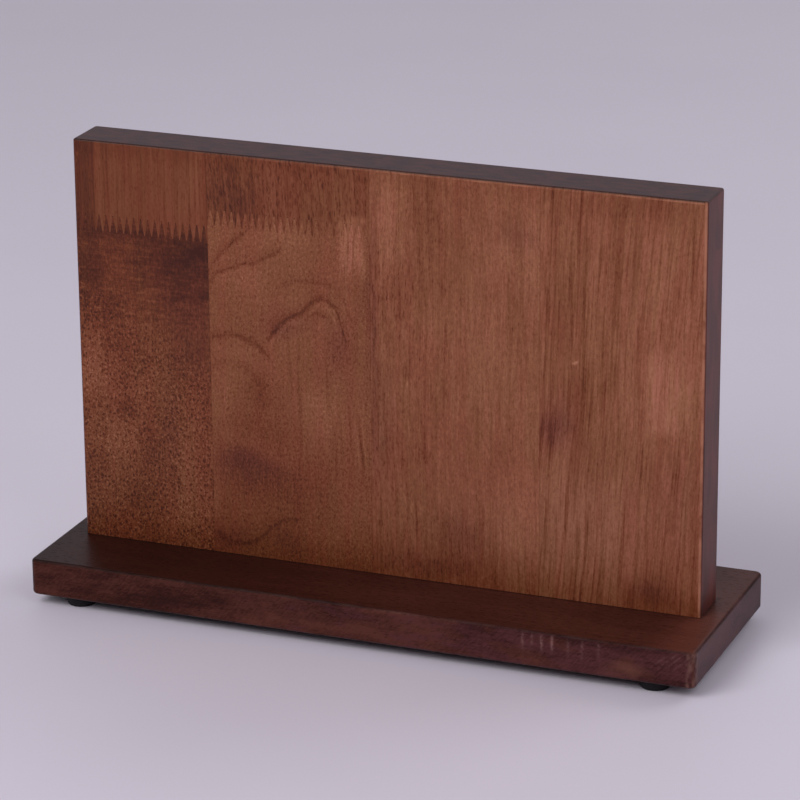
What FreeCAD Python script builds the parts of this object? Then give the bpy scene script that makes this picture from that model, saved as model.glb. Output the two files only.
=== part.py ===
import FreeCAD, Part
import math
import os
import re
import Sketcher

# A free-standing two-sided magnetic knife stand.  An upright board of edge-glued staves, two
# layers thick with rows of magnets between them, stands on a flat base with four rubber feet.
# Lengths are in millimetres.  The origin is the centre of the footprint, on the surface that the
# feet stand on.  +X runs along the board, -Y is the front and +Z is up.

DIMENSIONS = {
    # Base
    "base_length": 372,
    "base_depth": 120,
    "base_thickness": 20,
    "base_corner_radius": 4,
    "base_arris_radius": 1.8,
    "base_rear_stave_width": 42,
    # Board
    "board_length": 349,
    "board_height": 222,
    "layer_thickness": 14,
    "board_corner_radius": 1.8,
    "board_arris_radius": 1.2,
    # Glue lines between the staves, measured from the board's left end
    "front_seam_one": 76.7,
    "front_seam_two": 168,
    "front_seam_three": 261,
    "rear_seam_one": 84.5,
    "rear_seam_two": 168.5,
    "rear_seam_three": 257.5,
    # Finger joints: the height of each joint's lower end above the base
    "front_joint_one": 172.7,
    "front_joint_two": 182.2,
    "rear_joint_two": 106,
    "rear_joint_four": 192,
    "finger_length": 9,
    "finger_pitch": 4,
    "finger_tip_width": 0.6,
    "finger_tip_gap": 0.3,
    # Magnet channels, routed from the inner face of each layer
    "channel_length": 291,
    "channel_height": 21,
    "lower_channel_middle": 72,
    "upper_channel_middle": 152,
    "skin_thickness": 2.5,
    "magnet_length": 40,
    "magnet_height": 20,
    "magnet_thickness": 10,
    "magnet_pitch": 41.6,
    "keeper_length": 290,
    "keeper_thickness": 1.5,
    # Dowels and screws that hold the board on the base
    "dowel_radius": 4,
    "dowel_length": 36,
    "dowel_depth_in_base": 12,
    "dowel_offset": 130,
    "dowel_chamfer": 0.8,
    "base_screw_offset": 90,
    "base_screw_length": 50,
    "base_screw_radius": 1.8,
    "base_screw_head_radius": 4.5,
    "base_screw_head_height": 2.7,
    "base_screw_sunk": 0.3,
    # Rubber feet, each on a washer and a pan-head screw
    "foot_height": 5.8,
    "foot_top_radius": 9,
    "foot_bottom_radius": 7.5,
    "foot_rim_radius": 0.9,
    "foot_inset_along": 24.5,
    "foot_inset_across": 12,
    "foot_bore_radius": 4.75,
    "foot_bore_depth": 3.5,
    "foot_hole_radius": 2,
    "washer_radius": 4.65,
    "washer_thickness": 1,
    "foot_screw_radius": 1.6,
    "foot_screw_head_radius": 3.6,
    "foot_screw_head_height": 1.9,
    "foot_screw_length": 13,
    # Shared by all the screws and holes
    "screw_point_length": 4,
    "recess_width": 0.9,
    "recess_depth": 1.2,
    "hole_clearance": 0.1,
}

MAGNETS_IN_A_ROW = 7

# Words for heights and planes that many pieces share
BASE_TOP = "(foot_height + base_thickness)"
BOARD_LEFT = "(-board_length / 2)"

# Each stave's name, its left and right edge, and the height of its finger joint if it has one
FRONT_STAVES = [
    ("front_stave_1", "0", "front_seam_one", "front_joint_one"),
    ("front_stave_2", "front_seam_one", "front_seam_two", "front_joint_two"),
    ("front_stave_3", "front_seam_two", "front_seam_three", None),
    ("front_stave_4", "front_seam_three", "board_length", None),
]
REAR_STAVES = [
    ("rear_stave_1", "0", "rear_seam_one", None),
    ("rear_stave_2", "rear_seam_one", "rear_seam_two", "rear_joint_two"),
    ("rear_stave_3", "rear_seam_two", "rear_seam_three", None),
    ("rear_stave_4", "rear_seam_three", "board_length", "rear_joint_four"),
]

doc = FreeCAD.newDocument("knife_stand")
pieces = []


# ---------------------------------------------------------------- helpers

def fill_sheet():
    """Write every driving dimension into the sheet, one row each."""
    sheet = doc.addObject("Spreadsheet::Sheet", "Dimensions")
    for row, (word, value) in enumerate(DIMENSIONS.items(), start=1):
        sheet.set("A%d" % row, word)
        sheet.set("B%d" % row, str(value))
        sheet.setAlias("B%d" % row, word)
    doc.recompute()


def formula(text):
    """Turn a sum of the sheet's words into an expression that reads its cells."""
    def cell(match):
        word = match.group()
        return "Dimensions." + word if word in DIMENSIONS else word
    return re.sub(r"[a-z]\w*", cell, text)


def bind(thing, sizes):
    """Bind each named property to a sum of the sheet's words."""
    for name, text in sizes.items():
        thing.setExpression(name, formula(text))


def place(thing, x, y, z):
    """Bind a thing's position."""
    bind(thing, {"Placement.Base.x": x, "Placement.Base.y": y, "Placement.Base.z": z})


def add(kind, name):
    """Add an object to the document."""
    return doc.addObject(kind, name)


def keep(thing, label):
    """Name a finished piece and count it among the pieces to write."""
    thing.Label = label
    pieces.append(thing)
    return thing


def block(name, size, low):
    """A plain block from its three sizes and its lowest corner."""
    box = add("Part::Box", name)
    bind(box, dict(zip(("Length", "Width", "Height"), size)))
    place(box, *low)
    return box


def cylinder(name, radius, height, low):
    """An upright cylinder from the centre of its lower end."""
    rod = add("Part::Cylinder", name)
    bind(rod, {"Radius": radius, "Height": height})
    place(rod, *low)
    return rod


def fuse(name, shapes):
    """Join shapes into one."""
    joined = add("Part::MultiFuse", name)
    joined.Shapes = shapes
    joined.Refine = True
    return joined


def boolean(kind, name, base, tool):
    """Cut the tool from the base, or keep what the two have in common."""
    result = add(kind, name)
    result.Base = base
    result.Tool = tool
    result.Refine = True
    return result


def sketch_on(body, role, name):
    """A sketch on one of its own body's origin planes."""
    plane = [part for part in body.Origin.OriginFeatures if part.Role == role][0]
    sketch = body.newObject("Sketcher::SketchObject", name)
    sketch.AttachmentSupport = (plane, "")
    sketch.MapMode = "FlatFace"
    return sketch


def outline(sketch, corners):
    """A closed outline.  Each corner is held by its distances from the sketch's two axes."""
    count = len(corners)
    turn = 2 * math.pi / count
    starts = [FreeCAD.Vector(math.cos(turn * k), math.sin(turn * k), 0) for k in range(count)]
    for k in range(count):
        sketch.addGeometry(Part.LineSegment(starts[k], starts[(k + 1) % count]), False)
    for k in range(count):
        sketch.addConstraint(Sketcher.Constraint("Coincident", k, 2, (k + 1) % count, 1))
    for k, corner in enumerate(corners):
        for kind, axis, text in (("DistanceX", -2, corner[0]), ("DistanceY", -1, corner[1])):
            if text == "0":
                sketch.addConstraint(Sketcher.Constraint("PointOnObject", k, 1, axis))
            else:
                index = sketch.addConstraint(Sketcher.Constraint(kind, -1, 1, k, 1, 1.0))
                sketch.setExpression("Constraints[%d]" % index, formula(text))


def padded(name, role, corners, length):
    """A body made by padding one outline."""
    body = add("PartDesign::Body", name)
    sketch = sketch_on(body, role, name + "_sketch")
    outline(sketch, corners)
    pad = body.newObject("PartDesign::Pad", name + "_pad")
    pad.Profile = sketch
    bind(pad, {"Length": length})
    doc.recompute()
    return body, pad


def turned(name, corners):
    """A body made by turning an outline about the Z axis."""
    body = add("PartDesign::Body", name)
    sketch = sketch_on(body, "XZ_Plane", name + "_sketch")
    outline(sketch, corners)
    turn = body.newObject("PartDesign::Revolution", name + "_turn")
    turn.Profile = sketch
    turn.ReferenceAxis = (sketch, ["V_Axis"])
    turn.Angle = 360
    doc.recompute()
    return body


def round_edges(body, wanted, radius):
    """Round the edges of a body whose bounding boxes are wanted."""
    base = body.Tip
    names = ["Edge%d" % k for k, edge in enumerate(base.Shape.Edges, start=1)
             if wanted(edge.BoundBox)]
    rounding = body.newObject("PartDesign::Fillet", body.Name + "_rounding")
    rounding.Base = (base, names)
    bind(rounding, {"Radius": radius})
    doc.recompute()


# ---------------------------------------------------------------- board

def layer_blank(name):
    """One layer of the board with its outer corners and its top arrises rounded.

    Its outer face lies on the body's own XZ plane and its glue face looks along +Y.
    """
    corners = [("0", "0"), ("board_length", "0"), ("board_length", "layer_thickness"),
               ("0", "layer_thickness")]
    body, pad = padded(name, "XY_Plane", corners, "board_height")
    top = pad.Shape.BoundBox.ZMax
    glue_face = pad.Shape.BoundBox.YMax

    def outer_corner(box):
        return box.ZLength > top / 2 and box.YMax < glue_face / 2

    def top_arris(box):
        return box.ZMin > top / 2 and box.YMin < glue_face / 2

    round_edges(body, outer_corner, "board_corner_radius")
    round_edges(body, top_arris, "board_arris_radius")
    return body


def finger_row(name, left, right, low_y, joint, finger_length, tip_width):
    """A row of tapered fingers that point up, across the width of one stave."""
    width = "(%s - %s)" % (right, left)
    count = "round(%s / finger_pitch)" % width
    pitch = "(%s / %s)" % (width, count)
    corners = [("finger_tip_width / 2", "0"),
               (pitch + " - finger_tip_width / 2", "0"),
               ("(%s + %s) / 2" % (pitch, tip_width), finger_length),
               ("(%s - %s) / 2" % (pitch, tip_width), finger_length)]
    body, pad = padded(name, "XZ_Plane", corners, "layer_thickness")
    pad.Reversed = True
    row = body.newObject("PartDesign::LinearPattern", name + "_row")
    row.Originals = [pad]
    row.Direction = (pad.Profile[0], ["H_Axis"])
    bind(row, {"Length": "%s * (%s - 1)" % (pitch, count), "Occurrences": count})
    body.Tip = row
    place(body, BOARD_LEFT + " + " + left, low_y, BASE_TOP + " + " + joint)
    return body


def stave_block(name, left, right, low_y, low, high):
    """The block that one stave, or one length of it, is cut from."""
    size = ("%s - %s" % (right, left), "layer_thickness", "%s - %s" % (high, low))
    return block(name, size, (BOARD_LEFT + " + " + left, low_y, BASE_TOP + " + " + low))


def finish_stave(label, blank, wood, cutters):
    """Give a stave the blank's rounded edges, and rout and drill it."""
    shaped = boolean("Part::Common", label + "_shaped", blank, wood)
    keep(boolean("Part::Cut", label + "_cut", shaped, cutters), label)


def make_stave(stave, blank, low_y, cutters):
    """One stave, in two lengths where a finger joint joins them."""
    label, left, right, joint = stave
    if joint is None:
        whole = stave_block(label + "_block", left, right, low_y, "0", "board_height")
        finish_stave(label, blank, whole, cutters)
        return
    # The fingers of the lower length stop short of the bottom of the slots that they fill.
    slope = "((%s - %s) / round((%s - %s) / finger_pitch) / 2 - finger_tip_width)" % (
        right, left, right, left)
    short_tip = "finger_tip_width + 2 * finger_tip_gap * %s / finger_length" % slope
    fingers = finger_row(label + "_fingers", left, right, low_y, joint,
                         "finger_length - finger_tip_gap", "(%s)" % short_tip)
    slots = finger_row(label + "_slots", left, right, low_y, joint,
                       "finger_length", "finger_tip_width")
    lower = stave_block(label + "_lower_block", left, right, low_y, "0", joint)
    upper = stave_block(label + "_upper_block", left, right, low_y, joint, "board_height")
    with_fingers = fuse(label + "_lower_wood", [lower, fingers])
    with_slots = boolean("Part::Cut", label + "_upper_wood", upper, slots)
    finish_stave(label + "_lower", blank, with_fingers, cutters)
    finish_stave(label + "_upper", blank, with_slots, cutters)


def board_holes():
    """The holes up into the board's foot for its dowels and screws, on the glue plane."""
    holes = []
    for side in ("-", "+"):
        depth = "dowel_length - dowel_depth_in_base + hole_clearance"
        at = (side + "dowel_offset", "0", BASE_TOP)
        holes.append(cylinder("board_dowel_hole", "dowel_radius + hole_clearance", depth, at))
    for x in ("-base_screw_offset", "0", "base_screw_offset"):
        depth = "base_screw_length + base_screw_sunk - base_thickness + hole_clearance"
        radius = "base_screw_radius + hole_clearance"
        holes.append(cylinder("board_screw_hole", radius, depth, (x, "0", BASE_TOP)))
    return holes


def layer_cutters(side, low_y, holes):
    """Both magnet channels of one layer, and the holes in the board's foot."""
    size = ("channel_length", "layer_thickness - skin_thickness", "channel_height")
    channels = []
    for level in ("lower", "upper"):
        low_z = "%s + %s_channel_middle - channel_height / 2" % (BASE_TOP, level)
        name = "%s_%s_channel" % (side, level)
        channels.append(block(name, size, ("-channel_length / 2", low_y, low_z)))
    return fuse(side + "_cutters", channels + holes)


def make_board():
    """Both layers of the board, face to face on the plane y = 0."""
    holes = board_holes()
    front_blank = layer_blank("front_blank")
    place(front_blank, BOARD_LEFT, "-layer_thickness", BASE_TOP)
    front_cutters = layer_cutters("front", "skin_thickness - layer_thickness", holes)
    for stave in FRONT_STAVES:
        make_stave(stave, front_blank, "-layer_thickness", front_cutters)
    # The rear blank is the front one turned half round.
    rear_blank = layer_blank("rear_blank")
    rear_blank.Placement.Rotation = FreeCAD.Rotation(FreeCAD.Vector(0, 0, 1), 180)
    place(rear_blank, "board_length / 2", "layer_thickness", BASE_TOP)
    rear_cutters = layer_cutters("rear", "0", holes)
    for stave in REAR_STAVES:
        make_stave(stave, rear_blank, "0", rear_cutters)


# ---------------------------------------------------------------- magnets

def make_magnet_row(side, level, magnet_y, keeper_y):
    """One row of block magnets behind the skin, and the steel strip behind them."""
    low_z = "%s + %s_channel_middle - magnet_height / 2" % (BASE_TOP, level)
    label = "%s_%s" % (side, level)
    magnets = []
    for k in range(MAGNETS_IN_A_ROW):
        steps = k - (MAGNETS_IN_A_ROW - 1) / 2
        low_x = "%g * magnet_pitch - magnet_length / 2" % steps
        size = ("magnet_length", "magnet_thickness", "magnet_height")
        magnets.append(block(label + "_magnet", size, (low_x, magnet_y, low_z)))
    row = add("Part::Compound", label + "_magnet_row")
    row.Links = magnets
    keep(row, label + "_magnets")
    size = ("keeper_length", "keeper_thickness", "magnet_height")
    strip = block(label + "_strip", size, ("-keeper_length / 2", keeper_y, low_z))
    keep(strip, label + "_keeper")


def make_magnets():
    """Two rows in each layer, with the keeper strips back to back on the glue plane."""
    for level in ("upper", "lower"):
        make_magnet_row("front", level, "skin_thickness - layer_thickness", "-keeper_thickness")
        make_magnet_row("rear", level, "keeper_thickness", "0")


# ---------------------------------------------------------------- base

def base_blank():
    """The whole base with its corners and arrises rounded."""
    corners = [("0", "0"), ("base_length", "0"), ("base_length", "base_depth"),
               ("0", "base_depth")]
    body, pad = padded("base_blank", "XY_Plane", corners, "base_thickness")
    middle = pad.Shape.BoundBox.ZMax / 2

    def corner(box):
        return box.ZLength > middle

    def arris(box):
        return box.ZMin > middle or box.ZMax < middle

    round_edges(body, corner, "base_corner_radius")
    round_edges(body, arris, "base_arris_radius")
    place(body, "-base_length / 2", "-base_depth / 2", "foot_height")
    return body


def base_holes():
    """Blind dowel holes from above, countersunk screw holes right through, foot screw holes."""
    holes = []
    for side in ("-", "+"):
        depth = "dowel_depth_in_base + hole_clearance"
        low_z = BASE_TOP + " - " + depth.replace(" + ", " - ")
        at = (side + "dowel_offset", "0", low_z)
        holes.append(cylinder("base_dowel_hole", "dowel_radius + hole_clearance", depth, at))
    for x in ("-base_screw_offset", "0", "base_screw_offset"):
        radius = "base_screw_radius + hole_clearance"
        holes.append(cylinder("base_screw_hole", radius, "base_thickness", (x, "0", "foot_height")))
        mouth = "base_screw_head_radius + hole_clearance"
        holes.append(cylinder("base_screw_mouth", mouth, "base_screw_sunk", (x, "0", "foot_height")))
        sink = add("Part::Cone", "base_countersink")
        bind(sink, {"Radius1": mouth, "Radius2": radius, "Height": "base_screw_head_height"})
        place(sink, x, "0", "foot_height + base_screw_sunk")
        holes.append(sink)
    for x, y in foot_places().values():
        radius = "foot_screw_radius + hole_clearance"
        depth = "foot_screw_length + foot_bore_depth - washer_thickness - foot_height"
        depth += " - foot_screw_head_height + hole_clearance"
        holes.append(cylinder("base_foot_hole", radius, depth, (x, y, "foot_height")))
    return fuse("base_holes", holes)


def make_base():
    """The base, glued up from a wide front stave and a narrow rear one."""
    blank = base_blank()
    holes = base_holes()
    seam = "base_depth / 2 - base_rear_stave_width"
    front_width = "base_depth - base_rear_stave_width"
    for label, low_y, width in (("base_front_stave", "-base_depth / 2", front_width),
                                ("base_rear_stave", seam, "base_rear_stave_width")):
        size = ("base_length", width, "base_thickness")
        wood = block(label + "_block", size, ("-base_length / 2", low_y, "foot_height"))
        finish_stave(label, blank, wood, holes)


# ---------------------------------------------------------------- fastenings

def cut_recess(body, half_length):
    """Cut a cross recess into the flat end of a screw's head, which lies at the body's z = 0."""
    before = body.Shape.Volume
    sketch = sketch_on(body, "XY_Plane", body.Name + "_recess_sketch")
    half = FreeCAD.Vector(1, 0.5, 0)
    corners = [FreeCAD.Vector(sx * half.x, sy * half.y, 0)
               for sx, sy in ((-1, -1), (1, -1), (1, 1), (-1, 1))]
    for k in range(4):
        sketch.addGeometry(Part.LineSegment(corners[k], corners[(k + 1) % 4]), False)
        sketch.addConstraint(Sketcher.Constraint("Horizontal" if k % 2 == 0 else "Vertical", k))
    for k in range(4):
        sketch.addConstraint(Sketcher.Constraint("Coincident", k, 2, (k + 1) % 4, 1))
    sketch.addConstraint(Sketcher.Constraint("Symmetric", 0, 1, 1, 2, -1, 1))
    long_side = sketch.addConstraint(Sketcher.Constraint("DistanceX", 0, 1, 0, 2, 2.0))
    short_side = sketch.addConstraint(Sketcher.Constraint("DistanceY", 1, 1, 1, 2, 1.0))
    sketch.setExpression("Constraints[%d]" % long_side, formula("2 * " + half_length))
    sketch.setExpression("Constraints[%d]" % short_side, formula("recess_width"))
    pocket = body.newObject("PartDesign::Pocket", body.Name + "_recess")
    pocket.Profile = sketch
    pocket.Reversed = True
    bind(pocket, {"Length": "recess_depth"})
    doc.recompute()
    cross = body.newObject("PartDesign::PolarPattern", body.Name + "_cross")
    cross.Originals = [pocket]
    cross.Axis = (sketch, ["N_Axis"])
    cross.Angle = 90
    cross.Occurrences = 2
    body.Tip = cross
    doc.recompute()
    if body.Shape.Volume >= before:
        raise ValueError(body.Name + ": the recess cuts nothing")


def make_base_screw(label, x):
    """A countersunk screw, head down, that pulls the board on to the base."""
    straight_end = "base_screw_length - screw_point_length"
    corners = [("0", "0"),
               ("base_screw_head_radius", "0"),
               ("base_screw_radius", "base_screw_head_height"),
               ("base_screw_radius", straight_end),
               ("0", "base_screw_length")]
    body = turned(label + "_body", corners)
    cut_recess(body, "base_screw_head_radius * 0.6")
    place(body, x, "0", "foot_height + base_screw_sunk")
    keep(body, label)


def make_dowel(label, x):
    """A wooden dowel with chamfered ends, half way between the board's two faces."""
    inner = "dowel_radius - dowel_chamfer"
    corners = [("0", "0"),
               (inner, "0"),
               ("dowel_radius", "dowel_chamfer"),
               ("dowel_radius", "dowel_length - dowel_chamfer"),
               (inner, "dowel_length"),
               ("0", "dowel_length")]
    body = turned(label + "_body", corners)
    place(body, x, "0", BASE_TOP + " - dowel_depth_in_base")
    keep(body, label)


def make_fastenings():
    """Everything between the board and the base."""
    make_dowel("dowel_left", "-dowel_offset")
    make_dowel("dowel_right", "dowel_offset")
    make_base_screw("base_screw_left", "-base_screw_offset")
    make_base_screw("base_screw_middle", "0")
    make_base_screw("base_screw_right", "base_screw_offset")


# ---------------------------------------------------------------- feet

def foot_places():
    """The four feet's names and centres."""
    along = "(base_length / 2 - foot_inset_along)"
    across = "(base_depth / 2 - foot_inset_across)"
    return {"front_left": ("-" + along, "-" + across),
            "front_right": (along, "-" + across),
            "rear_left": ("-" + along, across),
            "rear_right": (along, across)}


def make_foot(place_name, x, y):
    """A tapered rubber foot with a washer at the bottom of its bore, and the screw through it."""
    rubber = [("foot_bore_radius", "0"),
              ("foot_bottom_radius", "0"),
              ("foot_top_radius", "foot_height"),
              ("foot_hole_radius", "foot_height"),
              ("foot_hole_radius", "foot_bore_depth"),
              ("foot_bore_radius", "foot_bore_depth")]
    foot = turned("foot_%s_body" % place_name, rubber)
    bore = DIMENSIONS["foot_bore_radius"]

    def outer_rim(box):
        return box.ZMax < 1e-6 and box.XLength > 2 * bore + 1

    round_edges(foot, outer_rim, "foot_rim_radius")
    place(foot, x, y, "0")
    keep(foot, "foot_" + place_name)

    ring = [("foot_hole_radius", "0"),
            ("washer_radius", "0"),
            ("washer_radius", "washer_thickness"),
            ("foot_hole_radius", "washer_thickness")]
    washer = turned("foot_washer_%s_body" % place_name, ring)
    place(washer, x, y, "foot_bore_depth - washer_thickness")
    keep(washer, "foot_washer_" + place_name)

    flat = "foot_screw_head_radius * 0.62"
    pan_head_screw = [("0", "0"),
                      (flat, "0"),
                      ("foot_screw_head_radius", "foot_screw_head_height * 0.55"),
                      ("foot_screw_head_radius", "foot_screw_head_height"),
                      ("foot_screw_radius", "foot_screw_head_height"),
                      ("foot_screw_radius", "foot_screw_length - screw_point_length"),
                      ("0", "foot_screw_length")]
    screw = turned("foot_screw_%s_body" % place_name, pan_head_screw)
    cut_recess(screw, flat)
    place(screw, x, y, "foot_bore_depth - washer_thickness - foot_screw_head_height")
    keep(screw, "foot_screw_" + place_name)


# ---------------------------------------------------------------- checks and files

def check_document():
    """Stop if any object failed or any piece isn't a sound solid."""
    for thing in doc.Objects:
        if "Invalid" in thing.State or "Error" in thing.State:
            raise ValueError(thing.Label + ": " + ", ".join(thing.State))
    for piece in pieces:
        shape = piece.Shape
        expected = MAGNETS_IN_A_ROW if piece.Label.endswith("_magnets") else 1
        if shape.isNull() or not shape.isValid() or len(shape.Solids) != expected:
            raise ValueError(piece.Label + ": not the sound solid that it should be")


def write_pieces():
    """Write each piece to a file of its own."""
    os.makedirs("parts", exist_ok=True)
    for piece in pieces:
        piece.Shape.exportStep("parts/%s.step" % piece.Label)
        print("%-26s %9.1f mm3" % (piece.Label, piece.Shape.Volume))
    print(len(pieces), "pieces")


fill_sheet()
make_board()
make_magnets()
make_base()
make_fastenings()
for foot_name, (foot_x, foot_y) in foot_places().items():
    make_foot(foot_name, foot_x, foot_y)
doc.recompute()
check_document()
write_pieces()
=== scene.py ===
import math

import bpy
from mathutils import Matrix, Vector


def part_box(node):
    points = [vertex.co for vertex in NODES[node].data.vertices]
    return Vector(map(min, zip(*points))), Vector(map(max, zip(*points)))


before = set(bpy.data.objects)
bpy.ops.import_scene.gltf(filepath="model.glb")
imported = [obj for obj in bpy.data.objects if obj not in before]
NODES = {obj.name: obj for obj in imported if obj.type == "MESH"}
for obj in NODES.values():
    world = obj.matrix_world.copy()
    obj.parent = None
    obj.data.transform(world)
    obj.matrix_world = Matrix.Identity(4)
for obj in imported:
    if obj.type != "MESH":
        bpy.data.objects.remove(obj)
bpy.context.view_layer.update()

MM = 0.001

# Sockets of the colour Mix node, which share their names with those of its other data types
MIX_COLOUR_A = 6
MIX_COLOUR_B = 7
MIX_COLOUR_RESULT = 2


def span(test):
    """The lowest and highest corner, in millimetres, of the nodes whose names pass a test."""
    boxes = [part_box(name) for name in NODES if test(name)]
    low = [min(box[0][k] for box in boxes) / MM for k in range(3)]
    high = [max(box[1][k] for box in boxes) / MM for k in range(3)]
    return low, high


BOARD_LOW, BOARD_HIGH = span(lambda name: name.startswith(("front_stave", "rear_stave")))
BASE_LOW, BASE_HIGH = span(lambda name: name.startswith("base_") and name.endswith("_stave"))


# ---------------------------------------------------------------- node helpers

class Graph:
    """Short calls that build one material's nodes.  Lengths are in millimetres."""

    def __init__(self, name):
        self.material = bpy.data.materials.new(name)
        self.material.use_nodes = True
        self.tree = self.material.node_tree
        self.shader = self.tree.nodes["Principled BSDF"]
        place = self.add("ShaderNodeTexCoord").outputs["Object"]
        scaled = self.add("ShaderNodeVectorMath", operation="SCALE")
        self.feed(place, scaled.inputs[0])
        scaled.inputs["Scale"].default_value = 1 / MM
        self.point = scaled.outputs[0]
        parts = self.add("ShaderNodeSeparateXYZ")
        self.feed(self.point, parts.inputs[0])
        self.x, self.y, self.z = parts.outputs

    def add(self, kind, **settings):
        """A new node of a kind, with its settings."""
        node = self.tree.nodes.new(kind)
        for key, value in settings.items():
            setattr(node, key, value)
        return node

    def feed(self, value, socket):
        """Link a socket's output, or set a plain value."""
        if isinstance(value, bpy.types.NodeSocket):
            self.tree.links.new(value, socket)
        else:
            socket.default_value = value

    def math(self, operation, a, b=0.0, c=0.0):
        """A Math node on sockets or plain numbers."""
        node = self.add("ShaderNodeMath", operation=operation)
        for value, socket in zip((a, b, c), node.inputs):
            self.feed(value, socket)
        return node.outputs[0]

    def plus(self, *values):
        """The sum of all values."""
        total = values[0]
        for value in values[1:]:
            total = self.math("ADD", total, value)
        return total

    def times(self, *values):
        """The product of all values."""
        total = values[0]
        for value in values[1:]:
            total = self.math("MULTIPLY", total, value)
        return total

    def minus(self, a, b):
        """The difference a - b."""
        return self.math("SUBTRACT", a, b)

    def size(self, value):
        """The value without its sign."""
        return self.math("ABSOLUTE", value)

    def fade(self, value, start, end):
        """A smooth step from 0 where the value is at start to 1 where it is at end."""
        node = self.add("ShaderNodeMapRange", interpolation_type="SMOOTHSTEP")
        at_low, at_high = (0.0, 1.0) if end > start else (1.0, 0.0)
        numbers = (value, min(start, end), max(start, end), at_low, at_high)
        for number, socket in zip(numbers, node.inputs):
            self.feed(number, socket)
        return node.outputs[0]

    def fraction(self, value, low, high):
        """How far a value lies from low to high, kept between 0 and 1."""
        node = self.add("ShaderNodeMapRange")
        for number, socket in zip((value, low, high, 0.0, 1.0), node.inputs):
            self.feed(number, socket)
        return node.outputs[0]

    def vector(self, x, y, z):
        """A vector from three values."""
        node = self.add("ShaderNodeCombineXYZ")
        for value, socket in zip((x, y, z), node.inputs):
            self.feed(value, socket)
        return node.outputs[0]

    def noise(self, vector, per_mm, shift=0.0, detail=2.0, roughness=0.5, colour=False):
        """Noise between 0 and 1, usually near one half, with its own frequency on each axis."""
        scaled = self.add("ShaderNodeVectorMath", operation="MULTIPLY_ADD")
        self.feed(vector, scaled.inputs[0])
        scaled.inputs[1].default_value = per_mm
        scaled.inputs[2].default_value = (shift, shift * 0.37, shift * 0.71)
        node = self.add("ShaderNodeTexNoise")
        self.feed(scaled.outputs[0], node.inputs["Vector"])
        node.inputs["Scale"].default_value = 1.0
        node.inputs["Detail"].default_value = detail
        node.inputs["Roughness"].default_value = roughness
        return node.outputs[1 if colour else 0]

    def swing(self, amount, *noise_terms, **options):
        """Noise about zero, times an amount."""
        return self.times(self.minus(self.noise(*noise_terms, **options), 0.5), amount)

    def blob(self, vector, centre, radii):
        """1 at the centre and falling softly to 0 at about twice the radii.  None ignores an axis."""
        rates = [0.0 if radius is None else 1 / radius for radius in radii]
        moved = self.add("ShaderNodeVectorMath", operation="MULTIPLY_ADD")
        self.feed(vector, moved.inputs[0])
        moved.inputs[1].default_value = rates
        moved.inputs[2].default_value = [-c * rate for c, rate in zip(centre, rates)]
        square = self.add("ShaderNodeVectorMath", operation="DOT_PRODUCT")
        self.feed(moved.outputs[0], square.inputs[0])
        self.feed(moved.outputs[0], square.inputs[1])
        return self.math("EXPONENT", self.times(square.outputs["Value"], -1.0))

    def spots(self, across, length, per_mm, shift, radius):
        """1 inside specks of random sizes, with about one speck to each cell of a flat net."""
        cells = self.add("ShaderNodeTexVoronoi", voronoi_dimensions="2D")
        place = self.vector(self.math("MULTIPLY_ADD", across, per_mm[0], shift),
                            self.math("MULTIPLY_ADD", length, per_mm[1], shift * 0.37), 0.0)
        self.feed(place, cells.inputs["Vector"])
        cells.inputs["Scale"].default_value = 1.0
        pick = self.add("ShaderNodeSeparateColor")
        self.feed(cells.outputs["Color"], pick.inputs[0])
        reach = self.plus(self.times(pick.outputs[0], radius * 0.6), radius * 0.4)
        return self.fade(self.math("DIVIDE", cells.outputs["Distance"], reach), 1.0, 0.35)

    def ramp(self, value, stops):
        """The colour at a value, between stops of (place, colour)."""
        node = self.add("ShaderNodeValToRGB")
        elements = node.color_ramp.elements
        while len(elements) < len(stops):
            elements.new(0.5)
        for element, (place, colour) in zip(elements, stops):
            element.position = place
            element.color = (*colour, 1)
        self.feed(value, node.inputs[0])
        return node.outputs[0]

    def mix(self, factor, a, b, blend="MIX"):
        """Colour a at factor 0, and b, or a blended with it, at factor 1."""
        node = self.add("ShaderNodeMix", data_type="RGBA", blend_type=blend)
        self.feed(factor, node.inputs["Factor"])
        for value, index in ((a, MIX_COLOUR_A), (b, MIX_COLOUR_B)):
            is_socket = isinstance(value, bpy.types.NodeSocket)
            self.feed(value if is_socket else (*value, 1), node.inputs[index])
        return node.outputs[MIX_COLOUR_RESULT]

    def finish(self, colour, roughness, height, distance_mm):
        """Join the colour, roughness and surface height to the shader."""
        self.feed(colour, self.shader.inputs["Base Color"])
        self.feed(roughness, self.shader.inputs["Roughness"])
        bump = self.add("ShaderNodeBump")
        bump.inputs["Strength"].default_value = 1.0
        bump.inputs["Distance"].default_value = distance_mm * MM
        self.feed(height, bump.inputs["Height"])
        self.feed(bump.outputs[0], self.shader.inputs["Normal"])


def dress(names, graph):
    """Give CAD nodes a material."""
    for name in names:
        for material_slot in NODES[name].material_slots:
            material_slot.material = graph.material


# ---------------------------------------------------------------- wood

# The stained wood's colours from its darkest tone, 0, to its lightest.  The places along the
# board's colours are parts of TONE_SPAN, and the base's lightest tone is 1.
BOARD_TONES = [(0.0, (0.050, 0.0090, 0.0030)),
               (0.2, (0.090, 0.0190, 0.0062)),
               (0.4, (0.160, 0.0405, 0.0138)),
               (0.6, (0.235, 0.0770, 0.0345)),
               (0.8, (0.330, 0.1230, 0.0660)),
               (1.0, (0.430, 0.1750, 0.1050))]
TONE_SPAN = 1.25
BASE_TONES = [(0.0, (0.010, 0.0022, 0.0012)),
              (0.5, (0.036, 0.0075, 0.0045)),
              (1.0, (0.095, 0.027, 0.018))]
EDGE_STAIN = (0.088, 0.0170, 0.0110)
RUBBED_WOOD = (0.50, 0.21, 0.125)

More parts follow.
